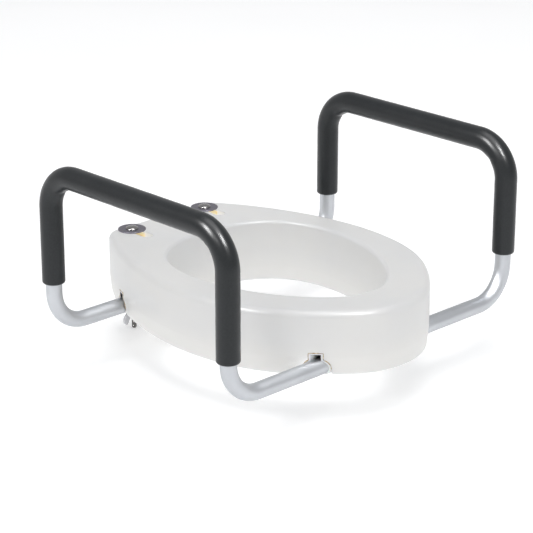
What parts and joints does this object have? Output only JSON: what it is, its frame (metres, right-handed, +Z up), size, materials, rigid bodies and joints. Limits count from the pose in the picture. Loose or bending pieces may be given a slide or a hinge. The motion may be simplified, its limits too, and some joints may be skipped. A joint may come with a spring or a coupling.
{
  "type": "raised toilet seat",
  "caption": "Foam-filled raised seat ring with padded bent-tube arms that pull out of its sides on sprung buttons, clamped to a toilet bowl by slotted bolts and wing nuts.",
  "frame": {"origin": "midway between the two mounting bolts, on the plane of the undersides of the rubber pads, where the seat rests on the bowl's rim", "axes": "+X across the seat towards its right arm as the seated person sees it from behind, -Y towards the front of the seat, +Z up"},
  "size_m": [0.5578, 0.49, 0.3119],
  "materials": {
    "seat_skin": "satin",
    "foam_core": "matte",
    "socket": "satin",
    "pad_rubber": "matte",
    "arm_tube": "satin",
    "grip_foam": "matte",
    "button": "satin",
    "spring_steel": "satin",
    "bolt_steel": "polished",
    "washer_steel": "satin",
    "clamp_rubber": "matte",
    "nut_steel": "satin"
  },
  "bodies": {
    "seat": {"seat_skin": "seat_skin", "foam_core": "foam_core", "left_front_socket": "socket", "left_rear_socket": "socket", "right_front_socket": "socket", "right_rear_socket": "socket", "left_front_pad": "pad_rubber", "left_rear_pad": "pad_rubber", "right_front_pad": "pad_rubber", "right_rear_pad": "pad_rubber"},
    "left_arm": {"left_arm_tube": "arm_tube", "left_arm_grip": "grip_foam", "left_front_spring": "spring_steel", "left_rear_spring": "spring_steel"},
    "left_front_button": {"left_front_button": "button"},
    "left_rear_button": {"left_rear_button": "button"},
    "left_bolt": {"left_mounting_bolt": "bolt_steel", "left_top_washer": "washer_steel"},
    "left_clamp": {"left_rubber_washer": "clamp_rubber", "left_steel_washer": "washer_steel"},
    "left_nut": {"left_wing_nut": "nut_steel"},
    "right_arm": {"right_arm_tube": "arm_tube", "right_arm_grip": "grip_foam", "right_front_spring": "spring_steel", "right_rear_spring": "spring_steel"},
    "right_front_button": {"right_front_button": "button"},
    "right_rear_button": {"right_rear_button": "button"},
    "right_bolt": {"right_mounting_bolt": "bolt_steel", "right_top_washer": "washer_steel"},
    "right_clamp": {"right_rubber_washer": "clamp_rubber", "right_steel_washer": "washer_steel"},
    "right_nut": {"right_wing_nut": "nut_steel"}
  },
  "joints": [
    {"name": "left_arm_pull", "type": "slide", "parent": "seat", "child": "left_arm", "axis": [-1, 0, 0], "range_m": [0, 0.1], "deforming": ["left_front_button", "left_rear_button"]},
    {"name": "left_front_button_press", "type": "slide", "parent": "left_arm", "child": "left_front_button", "axis": [0, 0, -1], "range_m": [0, 0.004], "stiffness_N_per_m": 4000, "springref_m": -0.0015, "deforming": ["left_front_spring"]},
    {"name": "left_rear_button_press", "type": "slide", "parent": "left_arm", "child": "left_rear_button", "axis": [0, 0, -1], "range_m": [0, 0.004], "stiffness_N_per_m": 4000, "springref_m": -0.0015, "deforming": ["left_rear_spring"]},
    {"name": "left_bolt_slide", "type": "slide", "parent": "seat", "child": "left_bolt", "axis": [0, -1, 0], "range_m": [0, 0.033]},
    {"name": "left_clamp_travel", "type": "slide", "parent": "left_bolt", "child": "left_clamp", "axis": [0, 0, 1], "range_m": [-0.0097, 0.0097]},
    {"name": "left_nut_spin", "type": "hinge", "parent": "left_clamp", "child": "left_nut", "pos_m": [-0.06985, 0, 0], "axis": [0, 0, 1], "range_deg": [-2520, 2520]},
    {"name": "right_arm_pull", "type": "slide", "parent": "seat", "child": "right_arm", "axis": [1, 0, 0], "range_m": [0, 0.1], "deforming": ["right_front_button", "right_rear_button"]},
    {"name": "right_front_button_press", "type": "slide", "parent": "right_arm", "child": "right_front_button", "axis": [0, 0, -1], "range_m": [0, 0.004], "stiffness_N_per_m": 4000, "springref_m": -0.0015, "deforming": ["right_front_spring"]},
    {"name": "right_rear_button_press", "type": "slide", "parent": "right_arm", "child": "right_rear_button", "axis": [0, 0, -1], "range_m": [0, 0.004], "stiffness_N_per_m": 4000, "springref_m": -0.0015, "deforming": ["right_rear_spring"]},
    {"name": "right_bolt_slide", "type": "slide", "parent": "seat", "child": "right_bolt", "axis": [0, -1, 0], "range_m": [0, 0.033]},
    {"name": "right_clamp_travel", "type": "slide", "parent": "right_bolt", "child": "right_clamp", "axis": [0, 0, 1], "range_m": [-0.0097, 0.0097]},
    {"name": "right_nut_spin", "type": "hinge", "parent": "right_clamp", "child": "right_nut", "pos_m": [0.06985, 0, 0], "axis": [0, 0, 1], "range_deg": [-2520, 2520]}
  ],
  "couplings": [
    {"joint": "left_nut_spin", "follows": "left_clamp_travel", "rad_per_m": 4452.6},
    {"joint": "right_nut_spin", "follows": "right_clamp_travel", "rad_per_m": 4452.6}
  ]
}
